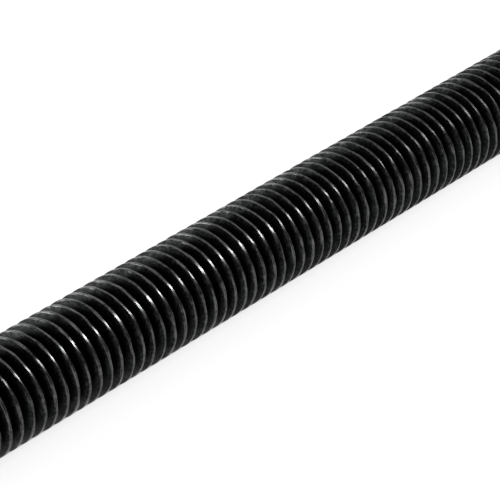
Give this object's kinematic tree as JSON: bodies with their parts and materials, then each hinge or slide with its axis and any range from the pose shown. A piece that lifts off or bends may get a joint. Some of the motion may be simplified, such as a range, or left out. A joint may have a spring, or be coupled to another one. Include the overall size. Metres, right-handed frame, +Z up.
{
  "type": "jack screw",
  "caption": "Straight black steel screw with a right-hand metric V thread from end to end and two flat, chamfered ends.",
  "frame": {"origin": "centre of the near end face, on the screw's axis", "axes": "+X along the axis from the near end to the far end, +Z up as the screw lies on a surface"},
  "size_m": [0.11, 0.012, 0.012],
  "materials": {
    "black_steel": "black oxide, oiled, satin gloss, brighter along the worn crests"
  },
  "bodies": {
    "root": {"jack_screw": "black_steel"}
  },
  "joints": []
}
